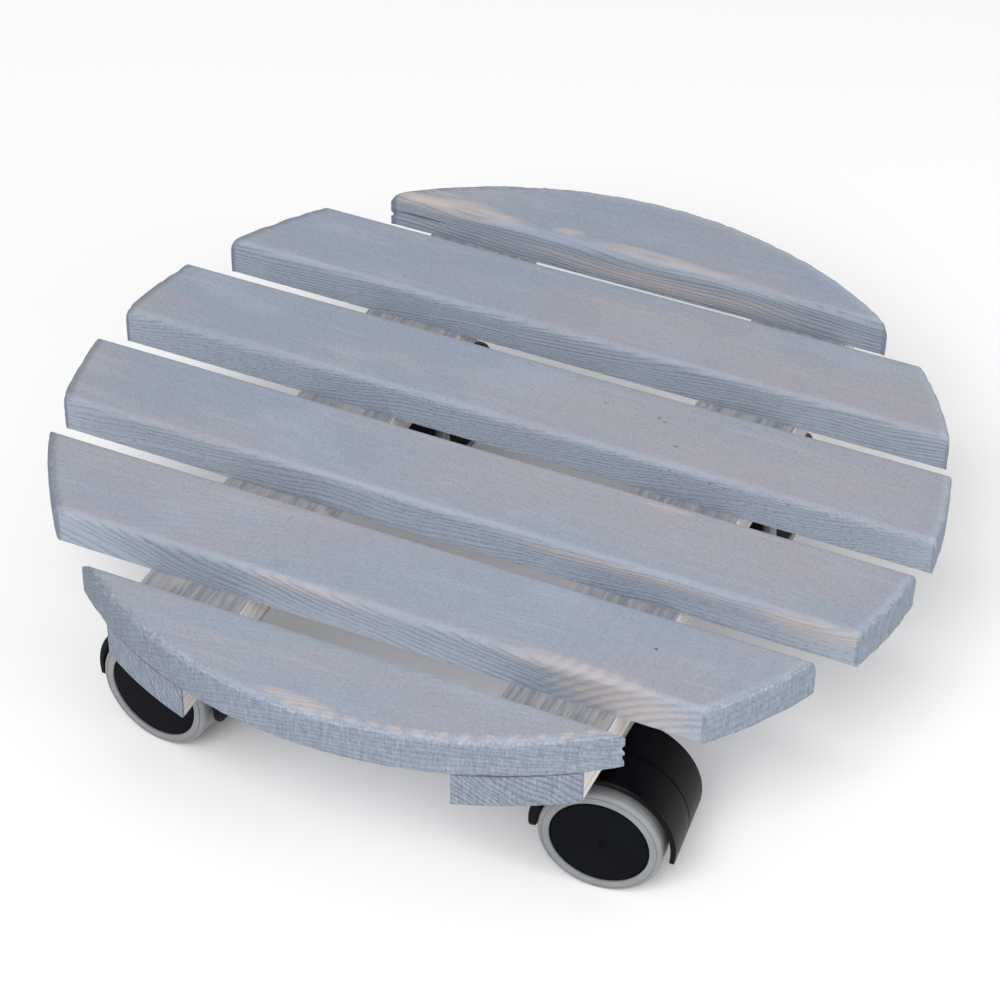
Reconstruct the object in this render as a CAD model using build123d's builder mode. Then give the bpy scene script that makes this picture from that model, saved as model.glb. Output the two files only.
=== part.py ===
"""Round slatted plant pot caddy: six planks on two battens, carried by four twin-wheel castors.

The origin is on the floor under the middle of the deck. +Z is up, the planks run along X,
and the front of the caddy faces -Y.
"""
from build123d import *

import os
from math import asin, cos, radians, sin

# ---------------------------------------------------------------- driving dimensions, mm
# deck
deck_diameter = 350
slat_count = 6
slat_width = 41
slat_thickness = 16
slat_edge_round = 2.5
slat_end_bevel = 0.8
slat_drift = (-0.5, -0.5, -1.5, -1.5, -1, -3)  # how far each hand-laid plank sits off the even pitch
end_slat_spare = 4  # extra stock on the first and last planks, sawn away by the deck's circle

# battens under the deck
batten_width = 42
batten_thickness = 15
batten_spacing = 149
batten_shift = 2  # both battens sit a little off the deck's centre line

# castors
castor_height = 61.5
castor_shift = {"front": 4.5, "rear": 0}  # each pair was screwed on a little off centre
castor_spacing_x = 149.5
castor_spacing_y = 216
castor_headings = {  # direction in which each castor trails, degrees from +X
    "front_left": 172.5,
    "front_right": 5.5,
    "rear_left": -93,
    "rear_right": -93,
}
trail = 16.5
wheel_radius = 24

# castor plate and its screws
plate_side = 38
plate_thickness = 2
plate_corner_round = 4
plate_edge_round = 0.5
plate_screw_pitch = 28

# swivel stem
stem_radius = 4.5
stem_foot_radius = 4
stem_collar_radius = 8
stem_collar_height = 2.2
stem_bottom = 26
stem_tip_bevel = 1
ring_height = 31
ring_thickness = 1.2
ring_seat_radius = 3.7
ring_radius = 5.3

# castor housing
hood_radius = 28.5
hood_thickness = 2
hood_half_width = 18
hood_droop = 11.5  # degrees that the hood reaches below the axle at both ends
hood_leading_round = 5
hood_trailing_round = 1.5
hood_rim_bevel = 0.5
web_half_width = 4
axle_boss_radius = 7
axle_boss_half_width = 8.1
stem_boss_radius = 7.25
stem_neck_radius = 9.5
housing_top = 56.9
neck_edge_round = 0.8
socket_clearance = 0.05
socket_floor = 4  # plastic left under the stem
stem_end_gap = 0.5
ring_clearance = 0.3
seam_width = 0.6
seam_depth = 0.3

# axle and wheels
axle_radius = 3
axle_half_length = 18.5
axle_end_bevel = 0.5
bore_clearance = 0.05
tyre_inner_face = 8
tyre_outer_face = 21
tyre_seat_radius = 19.8
tyre_lip_radius = 19.45
tyre_shoulder = 1.6
tyre_groove_radius = 22.2
tyre_groove_width = 0.45
rim_inner_face = 9
rim_outer_face = 18.8
rim_thickness = 2
dish_depth = 1.2
hub_radius = 6.5
hub_inner_face = 8.4
cap_radius = 19.4
cap_bevel = 1.3
cap_edge_face = 20.3
cap_face = 20.8
cap_crown = 0.5

# fasteners
slat_screw_radius = 1.75
slat_screw_head_radius = 3.4
slat_screw_length = 25
slat_screw_offset = 11  # half the distance between the two screws of one joint
end_slat_screw_y = 141
inner_slat_screw_inset = 14  # keeps the screws of the second and fifth slats clear of the castor plates
plate_screw_radius = 1.75
plate_screw_length = 11
pan_head_radius = 3.1
pan_head_height = 2.1
pan_head_bevel = 0.8
recess_width = 1.1
recess_length = 3.6
recess_depth = 1.0
hole_clearance = 0.05

# ---------------------------------------------------------------- derived places
deck_radius = deck_diameter / 2
deck_top = castor_height + batten_thickness + slat_thickness
slat_bottom = deck_top - slat_thickness
batten_bottom = castor_height
plate_bottom = castor_height - plate_thickness
slat_gap = (deck_diameter - slat_count * slat_width) / (slat_count - 1)
batten_centres = {
    "left": batten_shift - batten_spacing / 2,
    "right": batten_shift + batten_spacing / 2,
}
slat_centres = [
    deck_radius - slat_width / 2 - i * (slat_width + slat_gap) + slat_drift[i] for i in range(slat_count)
]


def castor_location(corner):
    """Swivel axis of one castor, turned so that local +X is the way it trails."""
    row, side = corner.split("_")
    side_x = 1 if side == "right" else -1
    side_y = 1 if row == "rear" else -1
    x = castor_shift[row] + side_x * castor_spacing_x / 2
    y = side_y * castor_spacing_y / 2
    return Location((x, y, 0), (0, 0, castor_headings[corner]))


def slat_screw_spots(slat_index):
    """The places of the screws that hold one slat, two on each batten."""
    y = slat_centres[slat_index]
    if slat_index == 0:
        y = end_slat_screw_y
    if slat_index == slat_count - 1:
        y = -end_slat_screw_y
    if slat_index == 1:
        y -= inner_slat_screw_inset
    if slat_index == slat_count - 2:
        y += inner_slat_screw_inset
    offsets = (-slat_screw_offset, slat_screw_offset)
    return [(centre + offset, y) for centre in batten_centres.values() for offset in offsets]


all_slat_screw_spots = [spot for i in range(slat_count) for spot in slat_screw_spots(i)]


def save(piece, name):
    piece.label = name
    export_step(piece, f"parts/{name}.step")


def placed(piece, corner, mirrored=False):
    """A castor piece, moved from its own frame to one corner of the caddy."""
    if mirrored:
        piece = mirror(piece, about=Plane.XZ, mode=Mode.PRIVATE)
    with BuildPart() as moved:
        with Locations(castor_location(corner)):
            add(piece)
    return moved.part


# ---------------------------------------------------------------- wooden deck
def make_slat(index):
    """One plank of the deck, its ends sawn to the deck's circle and its long top edges eased."""
    spare = end_slat_spare if index in (0, slat_count - 1) else 0
    outward = 1 if index == 0 else -1
    with BuildPart() as slat:
        with BuildSketch(Plane.XY.offset(slat_bottom)):
            Circle(deck_radius)
            with Locations((0, slat_centres[index] + outward * spare / 2)):
                Rectangle(deck_diameter, slat_width + spare, mode=Mode.INTERSECT)
        extrude(amount=slat_thickness)
        top_edges = slat.faces().sort_by(Axis.Z)[-1].edges()
        fillet(top_edges.filter_by(Axis.X), radius=slat_edge_round)
        sawn_edges = slat.faces().sort_by(Axis.Z)[-1].edges().filter_by(GeomType.CIRCLE)
        chamfer(sawn_edges, length=slat_end_bevel)
        pilot_depth = slat_screw_length - batten_thickness
        with BuildSketch(Plane.XY.offset(slat_bottom)):
            with Locations(*slat_screw_spots(index)):
                Circle(slat_screw_radius + hole_clearance)
        extrude(amount=pilot_depth + hole_clearance, mode=Mode.SUBTRACT)
    return slat.part


def make_batten(centre_x):
    """One crosswise batten that ties the slats together and carries two castors."""
    holes = [spot for spot in all_slat_screw_spots if abs(spot[0] - centre_x) < batten_width / 2]
    with BuildPart() as batten:
        with BuildSketch(Plane.XY.offset(batten_bottom)):
            Circle(deck_radius)
            with Locations((centre_x, 0)):
                Rectangle(batten_width, deck_diameter, mode=Mode.INTERSECT)
        extrude(amount=batten_thickness)
        with Locations(*[(x, y, batten_bottom) for x, y in holes]):
            with Locations(Location((0, 0, 0), (180, 0, 0))):
                CounterSinkHole(
                    radius=slat_screw_radius + hole_clearance,
                    counter_sink_radius=slat_screw_head_radius + hole_clearance,
                    depth=batten_thickness,
                )
        for corner in castor_headings:
            swivel = castor_location(corner)
            with BuildSketch(Plane(swivel.position + Vector(0, 0, batten_bottom))):
                with GridLocations(plate_screw_pitch, plate_screw_pitch, 2, 2):
                    Circle(plate_screw_radius + hole_clearance)
            extrude(amount=plate_screw_length - plate_thickness + hole_clearance, mode=Mode.SUBTRACT)
    return batten.part


# ---------------------------------------------------------------- fasteners
def cross_recess(head_z):
    """Cut the cross recess of a screw head that faces down at head_z."""
    with Locations((0, 0, head_z)):
        Box(recess_length, recess_width, 2 * recess_depth, mode=Mode.SUBTRACT)
        Box(recess_width, recess_length, 2 * recess_depth, mode=Mode.SUBTRACT)


def make_slat_screw():
    """Countersunk wood screw, driven up through a batten into a slat, head flush with the batten."""
    head_height = slat_screw_head_radius - slat_screw_radius
    tip_z = batten_bottom + slat_screw_length
    with BuildPart() as screw:
        with BuildSketch(Plane.XZ):
            with BuildLine():
                Polyline(
                    (0, batten_bottom),
                    (slat_screw_head_radius, batten_bottom),
                    (slat_screw_radius, batten_bottom + head_height),
                    (slat_screw_radius, tip_z - 2 * slat_screw_radius),
                    (0, tip_z),
                    close=True,
                )
            make_face()
        revolve(axis=Axis.Z)
        cross_recess(batten_bottom)
    return screw.part


def make_plate_screw():
    """Pan-head wood screw that holds a castor plate to a batten."""
    head_z = plate_bottom - pan_head_height
    tip_z = plate_bottom + plate_screw_length
    with BuildPart() as screw:
        with BuildSketch(Plane.XZ):
            with BuildLine():
                Polyline(
                    (0, head_z),
                    (pan_head_radius - pan_head_bevel, head_z),
                    (pan_head_radius, head_z + pan_head_bevel),
                    (pan_head_radius, plate_bottom),
                    (plate_screw_radius, plate_bottom),
                    (plate_screw_radius, tip_z - 2 * plate_screw_radius),
                    (0, tip_z),
                    close=True,
                )
            make_face()
        revolve(axis=Axis.Z)
        cross_recess(head_z)
    return screw.part


# ---------------------------------------------------------------- castor, in its own frame
# Its swivel axis is Z, it trails along +X, and its axle lies along Y.
axle_axis = Axis((trail, 0, wheel_radius), (0, 1, 0))
side_plane = Plane(origin=(trail, 0, wheel_radius), x_dir=(1, 0, 0), z_dir=(0, -1, 0))
wheel_plane = Plane(origin=(trail, 0, wheel_radius), x_dir=(0, 1, 0), z_dir=(1, 0, 0))


def make_plate():
    """Square top plate with four screw holes and the hole that the stem is riveted into."""
    with BuildPart() as plate:
        with BuildSketch(Plane.XY.offset(plate_bottom)):
            RectangleRounded(plate_side, plate_side, plate_corner_round)
            with GridLocations(plate_screw_pitch, plate_screw_pitch, 2, 2):
                Circle(plate_screw_radius + hole_clearance, mode=Mode.SUBTRACT)
            Circle(stem_foot_radius, mode=Mode.SUBTRACT)
        extrude(amount=plate_thickness)
        fillet(plate.edges().group_by(Axis.Z)[0].filter_by(GeomType.LINE), radius=plate_edge_round)
    return plate.part


def make_stem():
    """Swivel stem: riveted foot, collar that takes the load, shank and groove for its ring."""
    collar_z = plate_bottom - stem_collar_height
    with BuildPart() as stem:
        with BuildSketch(Plane.XZ):
            with BuildLine():
                Polyline(
                    (0, stem_bottom),
                    (stem_radius - stem_tip_bevel, stem_bottom),
                    (stem_radius, stem_bottom + stem_tip_bevel),
                    (stem_radius, ring_height),
                    (ring_seat_radius, ring_height),
                    (ring_seat_radius, ring_height + ring_thickness),
                    (stem_radius, ring_height + ring_thickness),
                    (stem_radius, collar_z),
                    (stem_collar_radius, collar_z),
                    (stem_collar_radius, plate_bottom),
                    (stem_foot_radius, plate_bottom),
                    (stem_foot_radius, castor_height),
                    (0, castor_height),
                    close=True,
                )
            make_face()
        revolve(axis=Axis.Z)
    return stem.part


def make_stem_ring():
    """Open snap ring in the stem's groove, which keeps the housing on the stem."""
    with BuildPart() as ring:
        with BuildSketch(Plane.XY.offset(ring_height)):
            Circle(ring_radius)
            Circle(ring_seat_radius, mode=Mode.SUBTRACT)
            with Locations((ring_radius, 0)):
                Rectangle(ring_radius, ring_seat_radius, mode=Mode.SUBTRACT)
        extrude(amount=ring_thickness)
    return ring.part


def make_housing():
    """Moulded hood over both wheels, with the web between them, axle boss and stem socket."""
    inner_radius = hood_radius - hood_thickness
    with BuildPart() as housing:
        # the neck around the stem, trimmed to the inside of the hood
        with BuildSketch(Plane.XY.offset(wheel_radius)):
            Circle(stem_neck_radius)
        extrude(amount=housing_top - wheel_radius)
        with BuildSketch(side_plane):
            Circle(inner_radius)
        extrude(amount=2 * hood_half_width, both=True, mode=Mode.SUBTRACT)
        fillet(housing.edges().group_by(Axis.Z)[-1], radius=neck_edge_round)
        # the web between the wheels
        with BuildSketch(side_plane):
            Circle(inner_radius + hood_thickness / 2)
            with Locations((0, -wheel_radius - axle_boss_radius)):
                Rectangle(4 * wheel_radius, 2 * wheel_radius, mode=Mode.SUBTRACT)
        extrude(amount=web_half_width, both=True)
        add(make_hood())
        # axle boss and stem socket
        with BuildSketch(side_plane):
            Circle(axle_boss_radius)
        extrude(amount=axle_boss_half_width, both=True)
        socket_bottom = stem_bottom - socket_floor
        with BuildSketch(Plane.XY.offset(socket_bottom)):
            Circle(stem_boss_radius)
        extrude(amount=housing_top - socket_bottom - neck_edge_round)
        with BuildSketch(side_plane):
            Circle(axle_radius)
        extrude(amount=axle_boss_half_width, both=True, mode=Mode.SUBTRACT)
        with BuildSketch(Plane.XY.offset(stem_bottom - stem_end_gap)):
            Circle(stem_radius + socket_clearance)
        extrude(amount=housing_top, mode=Mode.SUBTRACT)
        with BuildSketch(Plane.XY.offset(ring_height - ring_clearance)):
            Circle(ring_radius + ring_clearance)
        extrude(amount=ring_thickness + 2 * ring_clearance, mode=Mode.SUBTRACT)
    return housing.part


def make_hood():
    """The half-round shell, with its moulding seam and its rounded corners."""
    reach = 2 * hood_radius
    end_x = reach * cos(radians(hood_droop))
    end_y = -reach * sin(radians(hood_droop))
    with BuildPart() as hood:
        with BuildSketch(side_plane):
            Circle(hood_radius)
            Circle(hood_radius - hood_thickness, mode=Mode.SUBTRACT)
            with BuildLine():
                Polyline((0, 0), (end_x, end_y), (end_x, -reach), (-end_x, -reach), (-end_x, end_y), close=True)
            make_face(mode=Mode.SUBTRACT)
        extrude(amount=hood_half_width, both=True)
        corner_edges = hood.edges().filter_by(lambda edge: abs(edge.length - hood_thickness) < 0.01)
        leading = corner_edges.sort_by(Axis.X)[:2]
        trailing = corner_edges.sort_by(Axis.X)[-2:]
        fillet(leading, radius=hood_leading_round)
        fillet(trailing, radius=hood_trailing_round)
        rims = hood.edges().filter_by(GeomType.CIRCLE).filter_by(
            lambda edge: abs(edge.radius - hood_radius) < 0.01
        )
        chamfer(rims, length=hood_rim_bevel)
        with BuildSketch(side_plane):
            Circle(hood_radius + seam_depth)
            Circle(hood_radius - seam_depth, mode=Mode.SUBTRACT)
        extrude(amount=seam_width / 2, both=True, mode=Mode.SUBTRACT)
    return hood.part


def make_axle():
    """Steel axle pin, pressed into the housing, carrying a wheel on each end."""
    with BuildPart() as axle:
        with BuildSketch(side_plane):
            Circle(axle_radius)
        extrude(amount=axle_half_length, both=True)
        chamfer(axle.edges().filter_by(GeomType.CIRCLE), length=axle_end_bevel)
    return axle.part


def make_tyre():
    """Soft grey tread ring with rounded shoulders and a fine groove near its outer edge."""
    with BuildPart() as tyre:
        with BuildSketch(wheel_plane) as profile:
            with BuildLine():
                Polyline(
                    (tyre_inner_face, tyre_seat_radius),
                    (tyre_inner_face, wheel_radius),
                    (tyre_outer_face, wheel_radius),
                    (tyre_outer_face, tyre_lip_radius),
                    (rim_outer_face, tyre_lip_radius),
                    (rim_outer_face, tyre_seat_radius),
                    close=True,
                )
            make_face()
            fillet(profile.vertices().group_by(Axis.Y)[-1], radius=tyre_shoulder)
            with Locations((tyre_outer_face, tyre_groove_radius)):
                Rectangle(tyre_groove_width, tyre_groove_width, mode=Mode.SUBTRACT)
        revolve(axis=axle_axis)
    return tyre.part


def make_wheel_core():
    """Rigid wheel centre: rim under the tyre, disc and hub tube that runs on the axle."""
    bore = axle_radius + bore_clearance
    disc_inner_face = rim_inner_face + dish_depth
    with BuildPart() as core:
        with BuildSketch(wheel_plane):
            with BuildLine():
                Polyline(
                    (rim_inner_face, tyre_seat_radius),
                    (rim_outer_face, tyre_seat_radius),
                    (rim_outer_face, bore),
                    (hub_inner_face, bore),
                    (hub_inner_face, hub_radius),
                    (disc_inner_face, hub_radius),
                    (disc_inner_face, tyre_seat_radius - rim_thickness),
                    (rim_inner_face, tyre_seat_radius - rim_thickness),
                    close=True,
                )
            make_face()
        revolve(axis=axle_axis)
    return core.part


def make_hub_cap():
    """Snap-in cap with a bevelled rim and a face crowned to a large sphere."""
    crown_edge = cap_radius - cap_bevel
    sphere_radius = (crown_edge**2 + cap_crown**2) / (2 * cap_crown)
    middle = asin(crown_edge / sphere_radius) / 2
    sphere_centre = cap_face + cap_crown - sphere_radius
    with BuildPart() as cap:
        with BuildSketch(wheel_plane):
            with BuildLine():
                Polyline(
                    (cap_face + cap_crown, 0),
                    (rim_outer_face, 0),
                    (rim_outer_face, cap_radius),
                    (cap_edge_face, cap_radius),
                    (cap_face, crown_edge),
                )
                ThreePointArc(
                    (cap_face, crown_edge),
                    (sphere_centre + sphere_radius * cos(middle), sphere_radius * sin(middle)),
                    (cap_face + cap_crown, 0),
                )
            make_face()
        revolve(axis=axle_axis)
    return cap.part


# ---------------------------------------------------------------- build and write every piece
os.makedirs("parts", exist_ok=True)

for i in range(slat_count):
    save(make_slat(i), f"slat_{i + 1}")
for side, centre in batten_centres.items():
    save(make_batten(centre), f"batten_{side}")

with BuildPart() as slat_screws:
    with Locations(*all_slat_screw_spots):
        add(make_slat_screw())
save(slat_screws.part, "slat_screws")

with BuildPart() as plate_screws:
    for corner in castor_headings:
        swivel = castor_location(corner).position
        with Locations(swivel):
            with GridLocations(plate_screw_pitch, plate_screw_pitch, 2, 2):
                add(make_plate_screw())
save(plate_screws.part, "plate_screws")

plate = make_plate()
fixed_pieces = {"stem": make_stem(), "stem_ring": make_stem_ring()}
swivel_pieces = {"housing": make_housing(), "axle": make_axle()}
wheel_pieces = {"core": make_wheel_core(), "tyre": make_tyre(), "cap": make_hub_cap()}

for corner in castor_headings:
    with BuildPart() as square_plate:
        with Locations(castor_location(corner).position):
            add(plate)
    save(square_plate.part, f"{corner}_plate")
    for name, piece in (fixed_pieces | swivel_pieces).items():
        save(placed(piece, corner), f"{corner}_{name}")
    for name, piece in wheel_pieces.items():
        save(placed(piece, corner), f"{corner}_{name}_a")
        save(placed(piece, corner, mirrored=True), f"{corner}_{name}_b")
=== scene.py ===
"""Looks of the slatted plant pot caddy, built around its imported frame. Everything is in metres."""
from math import cos, radians, sin, sqrt

import bmesh
import bpy
import numpy as np
from mathutils import Matrix, Vector, noise


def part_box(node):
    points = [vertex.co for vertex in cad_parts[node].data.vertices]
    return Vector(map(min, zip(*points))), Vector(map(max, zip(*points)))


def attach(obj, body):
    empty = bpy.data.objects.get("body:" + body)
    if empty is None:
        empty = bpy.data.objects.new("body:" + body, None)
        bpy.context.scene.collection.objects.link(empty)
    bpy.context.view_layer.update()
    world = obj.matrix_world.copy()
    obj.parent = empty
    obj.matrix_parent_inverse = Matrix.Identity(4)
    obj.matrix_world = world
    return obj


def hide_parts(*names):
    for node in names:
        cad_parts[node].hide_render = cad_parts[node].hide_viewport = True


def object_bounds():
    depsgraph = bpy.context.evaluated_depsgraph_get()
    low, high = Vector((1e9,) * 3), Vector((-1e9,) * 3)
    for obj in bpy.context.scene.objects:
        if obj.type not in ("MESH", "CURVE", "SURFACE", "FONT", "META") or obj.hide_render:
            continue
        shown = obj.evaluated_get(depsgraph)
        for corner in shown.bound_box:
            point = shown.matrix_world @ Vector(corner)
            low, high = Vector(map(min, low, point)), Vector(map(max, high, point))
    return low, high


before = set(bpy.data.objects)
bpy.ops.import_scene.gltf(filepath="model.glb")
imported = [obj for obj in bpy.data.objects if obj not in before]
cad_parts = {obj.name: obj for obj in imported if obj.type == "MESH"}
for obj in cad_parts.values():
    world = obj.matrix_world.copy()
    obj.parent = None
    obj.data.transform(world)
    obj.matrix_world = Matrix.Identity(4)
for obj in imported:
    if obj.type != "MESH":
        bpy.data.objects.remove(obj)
cad_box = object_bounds()

MM = 0.001

# ---------------------------------------------------------------- places taken from the frame
deck_radius = (cad_box[1][1] - cad_box[0][1]) / 2
deck_top = cad_box[1][2]
slat_box = {i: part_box(f"slat_{i}") for i in range(1, 7)}
slat_bottom = slat_box[3][0][2]


# ---------------------------------------------------------------- small node language
class Nodes:
    """Builds one material's node tree by short calls that return output sockets."""

    def __init__(self, name, roughness=0.8):
        self.material = bpy.data.materials.new(name)
        self.material.use_nodes = True
        self.tree = self.material.node_tree
        self.bsdf = self.tree.nodes["Principled BSDF"]
        self.bsdf.inputs["Roughness"].default_value = roughness

    def add(self, kind, inputs=None, **settings):
        node = self.tree.nodes.new(kind)
        for key, value in settings.items():
            setattr(node, key, value)
        for key, value in (inputs or {}).items():
            self.put(node.inputs[key], value)
        return node

    def put(self, socket, value):
        if isinstance(value, bpy.types.NodeSocket):
            self.tree.links.new(value, socket)
        elif hasattr(socket.default_value, "__len__") and len(value) == 3 and len(socket.default_value) == 4:
            socket.default_value = (*value, 1)
        else:
            socket.default_value = value

    def position(self):
        return self.add("ShaderNodeTexCoord").outputs["Object"]

    def normal(self):
        return self.add("ShaderNodeTexCoord").outputs["Normal"]

    def split(self, vector):
        return self.add("ShaderNodeSeparateXYZ", {0: vector}).outputs[:]

    def join(self, x, y, z):
        return self.add("ShaderNodeCombineXYZ", {0: x, 1: y, 2: z}).outputs[0]

    def math(self, operation, a, b=0.0, clamp=False):
        return self.add("ShaderNodeMath", {0: a, 1: b}, operation=operation, use_clamp=clamp).outputs[0]

    def plus(self, a, b):
        return self.math("ADD", a, b)

    def minus(self, a, b):
        return self.math("SUBTRACT", a, b)

    def times(self, *values):
        product = values[0]
        for value in values[1:]:
            product = self.math("MULTIPLY", product, value)
        return product

    def scaled(self, vector, scale):
        return self.add("ShaderNodeVectorMath", {0: vector, 1: scale}, operation="MULTIPLY").outputs[0]

    def moved(self, vector, offset):
        return self.add("ShaderNodeVectorMath", {0: vector, 1: offset}, operation="ADD").outputs[0]

    def length(self, vector):
        return self.add("ShaderNodeVectorMath", {0: vector}, operation="LENGTH").outputs["Value"]

    def span(self, value, low, high, to_low=0.0, to_high=1.0):
        """Smooth step of value from low to high."""
        node = self.add("ShaderNodeMapRange", {0: value, 1: low, 2: high, 3: to_low, 4: to_high})
        node.interpolation_type = "SMOOTHSTEP"
        return node.outputs[0]

    def noise(self, vector, detail, roughness=0.5):
        inputs = {"Vector": vector, "Scale": 1.0, "Detail": detail, "Roughness": roughness}
        return self.add("ShaderNodeTexNoise", inputs).outputs["Fac"]

    def grain(self, vector, frequency, detail, roughness=0.5, offset=None):
        """Noise with its own frequency along each axis, in cells per metre."""
        cells = self.scaled(vector, frequency)
        if offset:
            cells = self.moved(cells, offset)
        return self.noise(cells, detail, roughness)

    def ramp(self, value, stops):
        """Value through (place, level) stops."""
        node = self.add("ShaderNodeValToRGB", {0: value})
        elements = node.color_ramp.elements
        while len(elements) < len(stops):
            elements.new(0.5)
        for element, (place, level) in zip(elements, stops):
            element.position = place
            element.color = (level, level, level, 1)
        return node.outputs[0]

    def mix(self, factor, a, b):
        node = self.add("ShaderNodeMix", data_type="RGBA")
        for index, value in ((0, factor), (6, a), (7, b)):
            self.put(node.inputs[index], value)
        return node.outputs[2]

    def color(self, value):
        self.put(self.bsdf.inputs["Base Color"], value)

    def rough(self, value):
        self.put(self.bsdf.inputs["Roughness"], value)

    def bump(self, height, distance, strength):
        inputs = {"Height": height, "Distance": distance, "Strength": strength}
        self.put(self.bsdf.inputs["Normal"], self.add("ShaderNodeBump", inputs).outputs[0])


# ---------------------------------------------------------------- wood
WOOD_GLARE = 0.2
WOOD_RELIEF = 0.28 * MM
WASH = (0.262, 0.302, 0.374)
WASH_WARM = (0.312, 0.310, 0.352)
# WASH_LIGHT is a paler wash, and also the painted highlight on eased edges and the painted light on the sawn sides;
# WASH_DARK is also the painted shade on the sawn sides
WASH_LIGHT = (0.340, 0.392, 0.475)
WASH_DARK = (0.185, 0.205, 0.245)
END_TONE = (0.222, 0.254, 0.306)
GRAIN_DARK = (0.115, 0.129, 0.158)
BARE = (0.475, 0.415, 0.372)
PINK = (0.445, 0.400, 0.405)
FLECK = (0.46, 0.51, 0.58)
# the dark of the specks, and of the painted shadow under the slats on the batten ends
DIRT_AND_SHADOW = (0.060, 0.052, 0.050)
CREAM = (0.70, 0.665, 0.625)
CREAM_DARK = (0.56, 0.505, 0.45)
THIN_WASH = (0.40, 0.380, 0.372)
THIN_WASH_DARK = (0.205, 0.225, 0.265)
# how much late wood there is at each place across one ring
NARROW_RINGS = [(0.0, 0.6), (0.14, 0.0), (0.50, 0.08), (0.86, 1.0), (1.0, 0.8)]
BROAD_RINGS = [(0.0, 0.7), (0.2, 0.1), (0.45, 0.0), (0.75, 0.8), (1.0, 0.9)]


class WashedWood(Nodes):
    """The patterns of one washed pine plank: its rings, fibres, saw marks, and where each face is."""

    def __init__(self, name, turned, seed):
        super().__init__(name)
        self.turned = turned
        self.seed = seed
        self.place = self.position()
        x, y, z = self.split(self.place)
        self.x, self.y, self.z = (y, x, z) if turned else (x, y, z)
        self.wood = self.join(self.x, self.y, self.z)
        self.nz = self.split(self.normal())[2]

        # fibres along the plank, clouds of wash, and the marks of the saw
        self.drift = self.minus(self.grain(self.wood, (9, 30, 30), 2.0, 0.5, (seed, 0, 0)), 0.5)
        self.fibre = self.grain(self.wood, (60, 1500, 1500), 3.0, 0.6)
        self.streak = self.grain(self.wood, (14, 240, 240), 3.0, 0.55, (seed, 0, 0))
        self.cloud = self.grain(self.wood, (22, 42, 42), 4.0, 0.6, (seed, 0, 0))
        self.broad = self.grain(self.wood, (9, 26, 26), 2.0, 0.5, (0, seed, 0))
        self.dash = self.grain(self.wood, (520, 1900, 1700), 3.0, 0.65)
        self.weave = self.grain(self.wood, (900, 1300, 1300), 2.0, 0.7)
        self.pore = self.grain(self.place, (1150, 1150, 1150), 2.0, 0.8)
        self.coarse = self.grain(self.place, (420, 420, 420), 2.0, 0.6)
        self.vein = self.grain(self.place, (1300, 1300, 150), 2.0, 0.6)

        # where each face is
        self.reach = self.length(self.join(self.x, self.y, 0.0))
        self.sawn_end = self.span(self.reach, deck_radius - 1.4 * MM, deck_radius - 0.5 * MM)
        rim = self.span(self.reach, deck_radius - 4.5 * MM, deck_radius - 1.5 * MM)
        self.rim_band = self.times(rim, self.span(self.nz, 0.2, 0.5))
        self.top = self.span(self.nz, 0.25, 0.8)
        under = self.span(self.nz, -0.25, -0.8)
        side = self.math("SUBTRACT", self.minus(1.0, self.top), under, clamp=True)
        self.side = self.times(side, self.minus(1.0, self.sawn_end))
        # the eased edges, which carry a painted highlight
        self.eased = self.times(self.span(self.nz, 0.15, 0.5), self.span(self.nz, 0.995, 0.9))

    def grow_rings(self, pith, slope, ring, flame):
        """Sets late, which is 1 in the late wood of each ring."""
        across = self.minus(self.minus(self.y, pith[0]), self.times(self.x, slope[0]))
        height = self.minus(self.minus(self.z, pith[1]), self.times(self.x, slope[1]))
        height = self.plus(height, self.times(self.drift, 0.016))
        radius = self.length(self.join(across, height, 0.0))
        spread = self.noise(self.join(self.times(radius, 170), self.times(self.x, 4), self.seed), 2.0)
        rings = self.plus(self.math("DIVIDE", radius, ring), self.times(spread, 3.0))
        self.late = self.ramp(self.math("FRACT", rings), NARROW_RINGS)
        if flame:
            start, climb, levelling, band = flame
            past = self.math("MAXIMUM", self.minus(self.x, start), 0.0)
            rise = self.times(past, self.minus(climb, self.times(past, levelling)))
            level = self.math("DIVIDE", self.minus(self.z, rise), band)
            level = self.math("FRACT", self.plus(level, self.times(spread, 1.5)))
            share = self.span(self.x, start - 6 * MM, start + 8 * MM)
            broad_late = self.ramp(level, BROAD_RINGS)
            self.late = self.plus(self.late, self.times(self.minus(broad_late, self.late), share))
        patchy = self.span(self.cloud, 0.3, 0.65, 0.3, 1.0)
        self.drawn = self.times(self.late, patchy, self.span(self.fibre, 0.2, 0.6, 0.5, 1.0))

    def near(self, spot, size):
        """Distance from a spot, counted in sizes."""
        offset = self.moved(self.place, tuple(-value for value in spot))
        return self.length(self.scaled(offset, tuple(1 / value for value in size)))

    def weathered_top(self):
        """The flat top hides its rings and is only a little uneven, cool here and warm there."""
        tone = self.mix(self.span(self.broad, 0.35, 0.68), WASH, WASH_WARM)
        tone = self.mix(self.times(self.span(self.cloud, 0.45, 0.75), 0.4), tone, WASH_LIGHT)
        tone = self.mix(self.times(self.span(self.streak, 0.52, 0.8), 0.35), tone, PINK)
        tone = self.mix(self.times(self.drawn, 0.10), tone, GRAIN_DARK)
        tone = self.mix(self.times(self.span(self.weave, 0.48, 0.72), 0.45), tone, WASH_DARK)
        tone = self.mix(self.times(self.span(self.weave, 0.48, 0.25), 0.45), tone, WASH_LIGHT)
        grime = self.times(self.span(self.coarse, 0.70, 0.78), self.span(self.cloud, 0.45, 0.6, 0.0, 0.6))
        tone = self.mix(grime, tone, GRAIN_DARK)
        # painted highlight: the eased edges are made lighter with WASH_LIGHT
        return self.mix(self.times(self.eased, self.span(self.streak, 0.3, 0.7, 0.05, 0.35)), tone, WASH_LIGHT)

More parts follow.
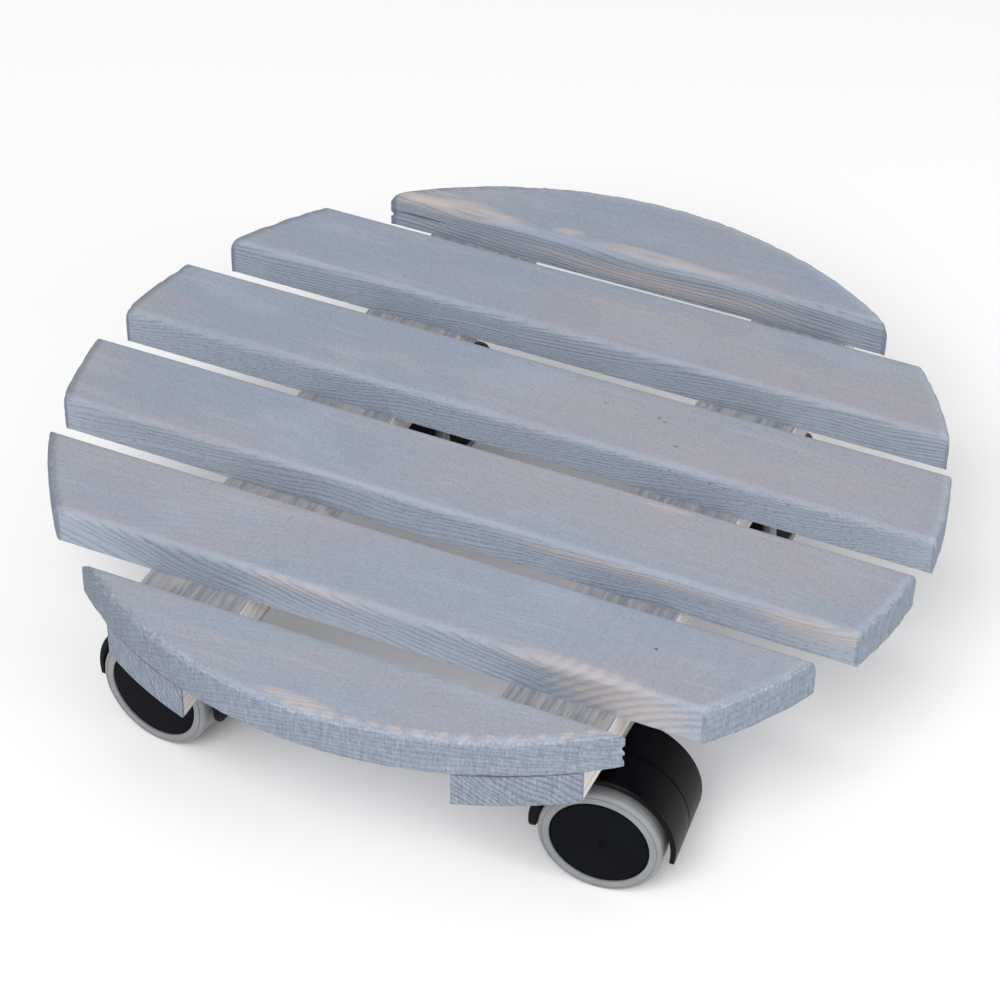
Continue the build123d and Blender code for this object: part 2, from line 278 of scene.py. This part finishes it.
    def sawn_side(self, tone, lines, speckle, side_shade):
        """The sawn sides show their rings and short marks of the saw."""
        # painted light: the sawn sides are made lighter than the top, and their painted shade then darkens them a
        # little
        side_color = self.mix(side_shade, self.mix(0.7, tone, WASH_LIGHT), WASH_DARK)
        side_color = self.mix(self.times(self.drawn, lines), side_color, GRAIN_DARK)
        side_color = self.mix(self.times(self.span(self.dash, 0.50, 0.75), speckle), side_color, GRAIN_DARK)
        side_color = self.mix(self.times(self.span(self.dash, 0.42, 0.25), speckle), side_color, WASH_LIGHT)
        return self.mix(self.side, tone, side_color)

    def rubbed_places(self, patches, rim_rub):
        """Where the wash is rubbed through: early wood shows bare and late wood keeps its colour."""
        rubbed = 0.0
        for spot, size, strength in patches:
            ragged = self.plus(self.near(spot, size), self.times(self.minus(self.streak, 0.5), 2.0))
            rubbed = self.math("ADD", rubbed, self.span(ragged, 1.2, 0.3, 0.0, strength), clamp=True)
        if rim_rub:
            wave = self.math("SINE", self.plus(self.times(self.x, 780), self.times(self.drift, 9)))
            ragged = self.plus(self.times(self.cloud, 2.5), self.times(self.coarse, 2.5))
            blotch = self.plus(self.times(wave, 0.45), self.minus(ragged, 2.5))
            rim = self.span(self.reach, deck_radius - 5 * MM, deck_radius - 3 * MM)
            edge = self.times(rim, self.span(self.nz, 0.3, 0.6), self.span(self.x, -0.02, 0.0))
            worn = self.times(edge, self.span(blotch, -0.2, 0.5), rim_rub)
            rubbed = self.math("ADD", rubbed, worn, clamp=True)
        return self.times(rubbed, self.minus(1.0, self.times(self.late, 0.7)))

    def bare_batten(self, tone, side_bare):
        """A batten's sides are nearly bare, and its top is thinly washed."""
        tone = self.mix(self.times(self.side, side_bare), tone, self.mix(self.late, CREAM, CREAM_DARK))
        crossed = self.grain(self.wood, (40, 480, 480), 3.0, 0.7)
        sawn_top = self.mix(self.span(crossed, 0.34, 0.66), THIN_WASH, THIN_WASH_DARK)
        return self.mix(self.times(self.top, 0.9), tone, sawn_top)

    def end_grain(self, tone, end_rings):
        """Open pores in rows along the rings, and a paler rim where the edge was rubbed down."""
        end_lines = self.times(self.late, self.span(self.pore, 0.36, 0.58, 0.45, 1.0))
        end_tone = self.mix(self.span(self.coarse, 0.3, 0.7), END_TONE, WASH)
        end_tone = self.mix(self.times(end_lines, end_rings), end_tone, GRAIN_DARK)
        end_tone = self.mix(self.times(self.span(self.vein, 0.5, 0.72), 0.42), end_tone, GRAIN_DARK)
        end_tone = self.mix(self.times(self.span(self.vein, 0.45, 0.25), 0.3), end_tone, FLECK)
        end_tone = self.mix(self.times(self.span(self.pore, 0.52, 0.72), 0.55), end_tone, GRAIN_DARK)
        flecks = self.times(self.rim_band, self.span(self.plus(self.vein, self.pore), 1.0, 0.75))
        tone = self.mix(self.sawn_end, tone, end_tone)
        # the pale rim and its flecks are weaker towards the left ends
        pale = self.span(self.x, -0.10, -0.03, 0.25, 1.0)
        tone = self.mix(self.times(self.rim_band, self.times(pale, 0.35)), tone, WASH_LIGHT)
        tone = self.mix(self.times(flecks, self.times(pale, 0.4)), tone, FLECK)
        if self.turned:
            return tone
        # the left ends are darker than the right ones
        left_darkening = self.times(self.span(self.plus(self.coarse, self.times(self.x, -2.0)), 0.45, 0.85), 0.5)
        crest = self.math("MAXIMUM", self.sawn_end, self.rim_band)
        return self.mix(self.times(crest, left_darkening, self.span(self.x, 0.0, -0.06)), tone, GRAIN_DARK)

    def roughen(self):
        """Matt wash, raised late wood, and the saw's marks."""
        self.rough(self.span(self.fibre, 0.2, 0.8, 0.75, 0.92))
        relief = self.plus(self.times(self.weave, 0.6), self.times(self.late, self.side, 0.5))
        marks = self.plus(self.times(self.side, self.dash), self.times(self.sawn_end, self.pore))
        self.bump(self.plus(relief, self.times(marks, 1.3)), WOOD_RELIEF, 0.7)
        self.bsdf.inputs["Specular IOR Level"].default_value = WOOD_GLARE


def washed_wood(
    name, pith, slope=(0.0, 0.0), ring=1.4 * MM, turned=False, lines=0.6, speckle=0.4, side_shade=0.05, side_bare=0.0,
    end_rings=0.3, patches=(), specks=(), rim_rub=0.0, flame=(), seed=0.0,
):
    """Pine under a thin blue-grey wash, its rings lying round a pith line that runs along the plank.

    pith is the (across, z) of that line at the middle of the plank and slope how it drifts along it.
    lines, speckle and side_shade say how strongly the rings, the saw's marks and a painted shade show on the
    sawn sides, side_bare how much bare wood is left there, and end_rings how dark the rings are on the
    sawn ends. patches are places (centre, size, strength) where the wash is rubbed through, specks are
    small dark marks given the same way, and rim_rub wears the round edge in blotches. flame is where
    broad rings start to climb across the plank's side, how fast they climb, how soon they level out and
    how far apart they are. A turned plank runs along Y.
    """
    n = WashedWood(name, turned, seed)
    n.grow_rings(pith, slope, ring, flame)
    tone = n.sawn_side(n.weathered_top(), lines, speckle, side_shade)
    if patches or rim_rub:
        bare = n.mix(n.span(n.streak, 0.3, 0.7), BARE, PINK)
        rubbed = n.rubbed_places(patches, rim_rub)
        tone = n.mix(rubbed, tone, bare)
    if side_bare:
        tone = n.bare_batten(tone, side_bare)
    tone = n.end_grain(tone, end_rings)
    if patches or rim_rub:
        inside = n.span(n.reach, deck_radius - 0.3 * MM, deck_radius - 1.0 * MM)
        tone = n.mix(n.times(rubbed, inside), tone, bare)
    for spot, size, strength in specks:
        mark = n.span(n.plus(n.near(spot, size), n.times(n.pore, 0.8)), 1.7, 0.9, 0.0, strength)
        tone = n.mix(mark, tone, DIRT_AND_SHADOW)
    if side_bare:
        # painted shadow: a dark line on each batten's sawn end just under the slats
        shadow_under_slat = n.times(n.span(n.z, slat_bottom - 1.2 * MM, slat_bottom - 0.3 * MM), n.sawn_end)
        tone = n.mix(n.times(shadow_under_slat, 0.8), tone, DIRT_AND_SHADOW)
    n.color(tone)
    n.roughen()
    return n.material


# ---------------------------------------------------------------- castor materials
SPARK_TEXTURE = 0.05 * MM
DUST_TEXTURE = 0.03 * MM
BRUSH_TEXTURE = 0.02 * MM


def moulded_plastic(name, color, roughness, glare=0.10):
    """Moulded plastic with a fine spark-eroded texture and faint scuffs."""
    n = Nodes(name)
    place = n.position()
    grit = n.grain(place, (2600, 2600, 2600), 2.0, 0.6)
    cloud = n.grain(place, (60, 60, 60), 3.0, 0.6)
    light = tuple(1.6 * value + 0.0006 for value in color)
    n.bsdf.inputs["Specular IOR Level"].default_value = glare
    n.color(n.mix(n.span(cloud, 0.35, 0.75), color, light))
    n.rough(n.span(cloud, 0.2, 0.8, roughness - 0.07, roughness + 0.08))
    n.bump(grit, SPARK_TEXTURE, 0.5)
    return n.material


def grey_tread():
    """Soft light grey rubber, a little dusty."""
    n = Nodes("grey_tread")
    place = n.position()
    cloud = n.grain(place, (90, 90, 90), 4.0, 0.6)
    n.color(n.mix(n.span(cloud, 0.3, 0.75), (0.200, 0.207, 0.215), (0.243, 0.250, 0.257)))
    n.rough(n.span(cloud, 0.2, 0.8, 0.45, 0.6))
    n.bump(n.grain(place, (1800, 1800, 1800), 2.0), DUST_TEXTURE, 0.4)
    return n.material


def zinc(name, roughness):
    """Bright zinc plating with faint brushing and cloudy passivation."""
    n = Nodes(name)
    n.bsdf.inputs["Metallic"].default_value = 1.0
    place = n.position()
    cloud = n.grain(place, (160, 160, 160), 3.0, 0.6)
    brush = n.grain(place, (300, 4000, 300), 2.0)
    n.color(n.mix(cloud, (0.55, 0.56, 0.57), (0.70, 0.70, 0.68)))
    n.rough(n.span(cloud, 0.2, 0.8, roughness - 0.06, roughness + 0.1))
    n.bump(brush, BRUSH_TEXTURE, 0.4)
    return n.material


# ---------------------------------------------------------------- plank meshes
END_CROWDING = 0.3
SAWN_OVERSIZE = 0.5 * MM
FRONT_EDGE = 3.0 * MM
BACK_EDGE = 2.2 * MM
TIP_LENGTH = 14 * MM
CHIPS = 14
SIDE_WANDER = 0.12 * MM
CELLS_ALONG, CELLS_ACROSS, CELLS_TALL = 180, 36, 12
TIP_CELLS_ACROSS = 72
CREASE_ANGLE = radians(40)


def box_surface(nx, ny, nz):
    """Surface points and quads of a box of nx by ny by nz cells, facing outwards."""
    index = {}
    quads = []

    def point(i, j, k):
        return index.setdefault((i, j, k), len(index))

    def sheet(n_a, n_b, to_key, flip):
        for a in range(n_a):
            for b in range(n_b):
                corners = [to_key(a, b), to_key(a + 1, b), to_key(a + 1, b + 1), to_key(a, b + 1)]
                quad = [point(*corner) for corner in corners]
                quads.append(quad[::-1] if flip else quad)

    sheet(nx, ny, lambda a, b: (a, b, nz), False)
    sheet(nx, ny, lambda a, b: (a, b, 0), True)
    sheet(nx, nz, lambda a, b: (a, 0, b), False)
    sheet(nx, nz, lambda a, b: (a, ny, b), True)
    sheet(ny, nz, lambda a, b: (nx, a, b), False)
    sheet(ny, nz, lambda a, b: (0, a, b), True)
    return np.array(list(index)), quads


def crowded(t):
    """Maps -1..1 to itself with the steps smaller at both ends."""
    return (1 + END_CROWDING) * t - END_CROWDING * t**3


def ease(distance, radius):
    """How far a quarter-round edge of that radius drops at a distance in from the edge."""
    inside = np.clip(radius - distance, 0, radius)
    return radius - np.sqrt(np.maximum(radius**2 - inside**2, 0))


def wavy(points, scale, offset):
    """Smooth seeded noise, about -1 to 1, at each point."""
    shift = Vector((offset, 0.37 * offset, 0.11 * offset))
    return np.array([noise.noise(Vector(p * scale) + shift) for p in points])


def make_plank(name, low, high, material, cut_edge, seed, splits, slide, blunt):
    """One plank whose ends are sawn to the deck's circle: eased, chipped and rough like the real one.

    cut_edge is the radius of its rubbed rim. splits are cracks (end, level, length, depth) in its ends.
    slide is how far along itself the plank sits off its place, and blunt how far out its tips reach.
    """
    front, back = low[1], high[1]
    sawn_radius = deck_radius + SAWN_OVERSIZE
    along, across, tall = CELLS_ALONG, CELLS_ACROSS, CELLS_TALL
    tips_back = back > deck_radius - MM
    tips_front = front < -deck_radius + MM
    if tips_back or tips_front:
        across = TIP_CELLS_ACROSS
    keys, quads = box_surface(along, across, tall)
    u = crowded(2 * keys[:, 0] / along - 1)
    v = keys[:, 1] / across
    w = keys[:, 2] / tall
    if tips_back:
        y = sawn_radius * np.cos((1 - v) * np.arccos(front / sawn_radius))
    elif tips_front:
        y = -sawn_radius * np.cos(v * np.arccos(-back / sawn_radius))
    else:
        y = (front + back) / 2 + (back - front) / 2 * crowded(2 * v - 1)
    x = u * np.sqrt(np.maximum(sawn_radius**2 - y**2, 0))
    flat = np.stack([x, y, np.zeros_like(x)], 1)
    slow = wavy(flat, 14, seed)
    quick = wavy(flat, 160, seed + 7)
    fine = wavy(flat, 700, seed + 13)
    rim = sawn_radius - np.hypot(x, y)
    rim_radius = cut_edge * np.clip(1 + 0.6 * quick + 0.3 * slow, 0.2, 2.2)
    if tips_front:
        rim_radius = rim_radius * np.clip((back - y) / TIP_LENGTH, 0.15, 1)
    drop = ease(rim, rim_radius)
    if not tips_front:
        drop = drop + ease(y - front, FRONT_EDGE * (1 + 0.25 * slow))
    if not tips_back:
        drop = drop + ease(back - y, BACK_EDGE * (1 + 0.25 * slow))
    # chips broken out along the sawn rim
    dice = np.random.default_rng(int(10 * seed))
    for _ in range(CHIPS):
        chip_y = dice.uniform(front, back)
        chip_x = dice.choice((-1, 1)) * sqrt(max(sawn_radius**2 - chip_y**2, 0))
        size = dice.uniform(0.8, 2.2) * MM
        depth = dice.uniform(0.2, 0.9) * MM
        drop = drop + depth * np.exp(-(((x - chip_x) ** 2 + (y - chip_y) ** 2) / size**2)) * (1 + 0.6 * fine)
    thickness = high[2] - low[2]
    z = low[2] + w * np.maximum(thickness - drop, 0.3 * thickness)

    # the saw leaves the end grain rough and the lower edge ragged
    points = np.stack([x, y, z], 1)
    rough = wavy(points * np.array([1, 1, 2.5]), 420, seed + 3)
    ragged = wavy(points, 190, seed + 5)
    at_rim = np.clip(1 - rim / (0.8 * MM), 0, 1)
    inward = at_rim * (0.15 * rough + 0.22 * (1 + ragged) * (1 + 0.8 * (w < 0.05))) * MM
    out = points[:, :2] / np.maximum(np.hypot(x, y), 1e-6)[:, None]
    points[:, :2] -= out * inward[:, None]
    # long sawn sides are nearly flat
    side = (keys[:, 1] == 0) | (keys[:, 1] == across)
    inside = np.where(keys[:, 1] == 0, 1.0, -1.0)
    points[:, 1] += np.where(side & (rim > MM), inside * SIDE_WANDER * (1 + rough), 0)
    for end, level, length, depth in splits:
        near = np.clip(1 - rim / length, 0, 1) * (x * end > 0)
        groove = np.exp(-(((w - level) * tall / 0.6) ** 2)) * near
        points[:, 1] += np.where(keys[:, 1] == 0, groove * depth, 0)
        points[:, 0] -= end * groove * 2 * depth

    points[:, 0] = np.clip(points[:, 0], -blunt, blunt)
    mesh = bpy.data.meshes.new(name)
    mesh.from_pydata(points.tolist(), [], quads)
    work = bmesh.new()
    work.from_mesh(mesh)
    bmesh.ops.remove_doubles(work, verts=work.verts, dist=0.02 * MM)
    bmesh.ops.dissolve_degenerate(work, dist=0.01 * MM, edges=work.edges)
    bmesh.ops.recalc_face_normals(work, faces=work.faces)
    for face in work.faces:
        face.smooth = True
    for line in work.edges:
        if len(line.link_faces) == 2 and line.calc_face_angle(0) > CREASE_ANGLE:
            line.smooth = False
    work.to_mesh(mesh)
    work.free()
    plank = bpy.data.objects.new(name, mesh)
    bpy.context.scene.collection.objects.link(plank)
    mesh.materials.append(material)
    plank.location.x = slide
    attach(plank, "deck")
    return plank


# ---------------------------------------------------------------- planks
# the grain of each plank, back to front, and the painted shade on its sawn sides
SLATS = {
    1: dict(pith=(0.06, 0.30), slope=(0.0, -0.03), ring=0.0015, lines=0.8, speckle=0.2, side_shade=0.1, seed=1.3),
    2: dict(pith=(-0.05, 0.26), slope=(0.0, 0.09), ring=0.0012, lines=0.65, speckle=0.4, seed=2.1),
    3: dict(pith=(-0.03, 0.17), slope=(0.0, 0.16), ring=0.0013, lines=0.3, speckle=0.75, seed=3.7),
    4: dict(pith=(-0.11, 0.25), slope=(0.0, 0.06), ring=0.0016, lines=0.4, speckle=0.6, seed=4.9),
    5: dict(pith=(-0.17, 0.17), slope=(0.0, -0.16), ring=0.0017, lines=0.5, seed=5.3),
    6: dict(pith=(-0.06, 0.21), slope=(0.0, 0.20), ring=0.0017, end_rings=0.45, rim_rub=0.65, seed=6.1),
}
SLATS[5]["flame"] = (0.068, 0.66, 2.2, 0.0036)
# spots of worn wash, knots and specks, each as (centre, size, strength)
SLATS[1]["patches"] = [
    ((-0.084, 0.1365, deck_top), (0.034, 0.006, 0.006), 0.7),
    ((-0.031, 0.139, deck_top), (0.009, 0.003, 0.004), 0.4),
    ((0.015, 0.137, deck_top), (0.042, 0.003, 0.004), 0.4),
    ((0.020, 0.134, slat_bottom + 0.006), (0.070, 0.002, 0.004), 0.5),
]
SLATS[4]["patches"] = [
    ((0.146, -0.053, deck_top - 0.005), (0.030, 0.004, 0.0045), 0.5),
    ((0.085, -0.053, deck_top - 0.004), (0.055, 0.003, 0.0030), 0.4),
    ((0.0775, -0.016, deck_top), (0.010, 0.002, 0.003), 0.35),
]
SLATS[5]["patches"] = [
    ((0.103, -0.1145, deck_top - 0.007), (0.032, 0.006, 0.009), 0.6),
    ((0.085, -0.114, deck_top - 0.002), (0.035, 0.008, 0.003), 0.5),
    ((-0.030, -0.114, deck_top - 0.002), (0.030, 0.004, 0.003), 0.35),
]
SLATS[6]["patches"] = [((-0.002, -0.170, deck_top), (0.016, 0.0035, 0.004), 0.55)]
SLATS[1]["specks"] = [((-0.100, 0.134, slat_bottom + 0.0075), (0.013, 0.004, 0.0004), 0.9)]
SLATS[3]["specks"] = [
    ((0.029, 0.035, deck_top), (0.0012, 0.0005, 0.001), 0.5),
    ((0.052, 0.035, deck_top), (0.0010, 0.0010, 0.001), 0.4),
    ((0.055, 0.0335, deck_top), (0.0014, 0.0004, 0.001), 0.5),
    ((0.0645, 0.021, deck_top), (0.0010, 0.0007, 0.001), 0.5),
]
SLATS[5]["specks"] = [((0.1045, -0.0915, deck_top), (0.0007, 0.0006, 0.001), 0.9)]
# cracks in the ends, places off centre, how far the tips of a broken plank reach, and well rubbed rims
SPLITS = {1: [(-1, 0.45, 20 * MM, 0.8 * MM)], 6: [(1, 0.62, 18 * MM, 1.0 * MM), (1, 0.3, 12 * MM, 0.8 * MM)]}
SLIDE = {1: 0.8 * MM, 2: 1.2 * MM, 3: 0.8 * MM, 5: -1.8 * MM}
BLUNT = {1: 114 * MM}
RUBBED_RIM = {6: 2.6 * MM}
USUAL_RIM = 1.4 * MM

for i, look in SLATS.items():
    low, high = slat_box[i]
    wood = washed_wood(f"washed_pine_{i}", **look)
    cut_edge = RUBBED_RIM.get(i, USUAL_RIM)
    blunt = BLUNT.get(i, deck_radius + MM)
    splits = SPLITS.get(i, ())
    plank = make_plank(f"plank_{i}", low, high, wood, cut_edge, look["seed"], splits, SLIDE.get(i, 0.0), blunt)
    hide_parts(f"slat_{i}")

# the battens keep their own meshes
for side, seed in (("left", 8.5), ("right", 9.2)):
    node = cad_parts[f"batten_{side}"]
    node.data.materials[0] = washed_wood(
        f"washed_batten_{side}", (0.26, 0.30), ring=0.0019, turned=True, side_bare=0.85, end_rings=0.9, seed=seed
    )
    worn = node.modifiers.new("worn_edges", "BEVEL")
    worn.width = 0.7 * MM
    worn.segments = 2
    worn.limit_method = "ANGLE"

# ---------------------------------------------------------------- castors and fasteners
black = moulded_plastic("hood_black", (0.0008, 0.0008, 0.0016), 0.40)
cap_black = moulded_plastic("cap_black", (0.0012, 0.0020, 0.0036), 0.5, 0.05)
core_black = moulded_plastic("core_black", (0.004, 0.004, 0.005), 0.5)
tread = grey_tread()
plated = zinc("zinc_plate", 0.35)
screws = zinc("zinc_screws", 0.3)
axle = zinc("axle_steel", 0.22)
FINISHES = {"housing": black, "cap": cap_black, "core": core_black, "tyre": tread, "axle": axle}

for name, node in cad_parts.items():
    if name.startswith(("slat_", "batten_")) and name != "slat_screws":
        continue
    chosen = plated
    for word, finish in FINISHES.items():
        if word in name:
            chosen = finish
    if name.endswith("screws"):
        chosen = screws
    for slot in range(len(node.data.materials)):
        node.data.materials[slot] = chosen

# ---------------------------------------------------------------- studio
FLOOR = 6.0
PAPER = (0.93, 0.93, 0.93)
AIR_LIGHT = 0.68
LIGHT_TARGET = Vector((0, 0, 0.05))

floor_mesh = bpy.data.meshes.new("studio_floor")
floor_corners = [(-FLOOR, -FLOOR, 0), (FLOOR, -FLOOR, 0), (FLOOR, FLOOR, 0), (-FLOOR, FLOOR, 0)]
floor_mesh.from_pydata(floor_corners, [], [(0, 1, 2, 3)])
floor = bpy.data.objects.new("studio_floor", floor_mesh)
bpy.context.scene.collection.objects.link(floor)
paper = Nodes("pale_paper", 0.9)
paper.color(PAPER)
floor_mesh.materials.append(paper.material)


def soft_light(name, place, size, power):
    """A round white light aimed at the middle of the caddy."""
    data = bpy.data.lights.new(name, "AREA")
    data.shape = "DISK"
    data.size = size
    data.energy = power
    light = bpy.data.objects.new(name, data)
    light.location = place
    light.rotation_euler = (LIGHT_TARGET - Vector(place)).to_track_quat("-Z", "Y").to_euler()
    bpy.context.scene.collection.objects.link(light)


soft_light("right_light", (1.8, -0.2, 0.8), 1.0, 9)
soft_light("front_light", (0.1, -1.55, 1.6), 1.4, 32)

world = bpy.data.worlds.new("studio_air")
world.use_nodes = True
world.node_tree.nodes["Background"].inputs["Color"].default_value = (1, 1, 1, 1)
world.node_tree.nodes["Background"].inputs["Strength"].default_value = AIR_LIGHT
bpy.context.scene.world = world
bpy.context.scene.view_settings.view_transform = "Standard"

# ---------------------------------------------------------------- camera
VIEW_TARGET = Vector((0.0168, -0.0383, deck_top))
VIEW_DISTANCE = 1.1567
VIEW_AZIMUTH = radians(23.8)
VIEW_ELEVATION = radians(39.38)
VIEW_ROLL = radians(0.86)
VIEW_LENS = 109.1
VIEW_SENSOR = 36.0

camera_data = bpy.data.cameras.new("camera")
camera_data.lens = VIEW_LENS
camera_data.sensor_width = VIEW_SENSOR
camera = bpy.data.objects.new("camera", camera_data)
away = Vector(
    (sin(VIEW_AZIMUTH) * cos(VIEW_ELEVATION), -cos(VIEW_AZIMUTH) * cos(VIEW_ELEVATION), sin(VIEW_ELEVATION))
)
camera.location = VIEW_TARGET + VIEW_DISTANCE * away
aim = (-away).to_track_quat("-Z", "Y").to_matrix().to_4x4()
camera.rotation_euler = (aim @ Matrix.Rotation(VIEW_ROLL, 4, "Z")).to_euler()
bpy.context.scene.collection.objects.link(camera)
bpy.context.scene.camera = camera
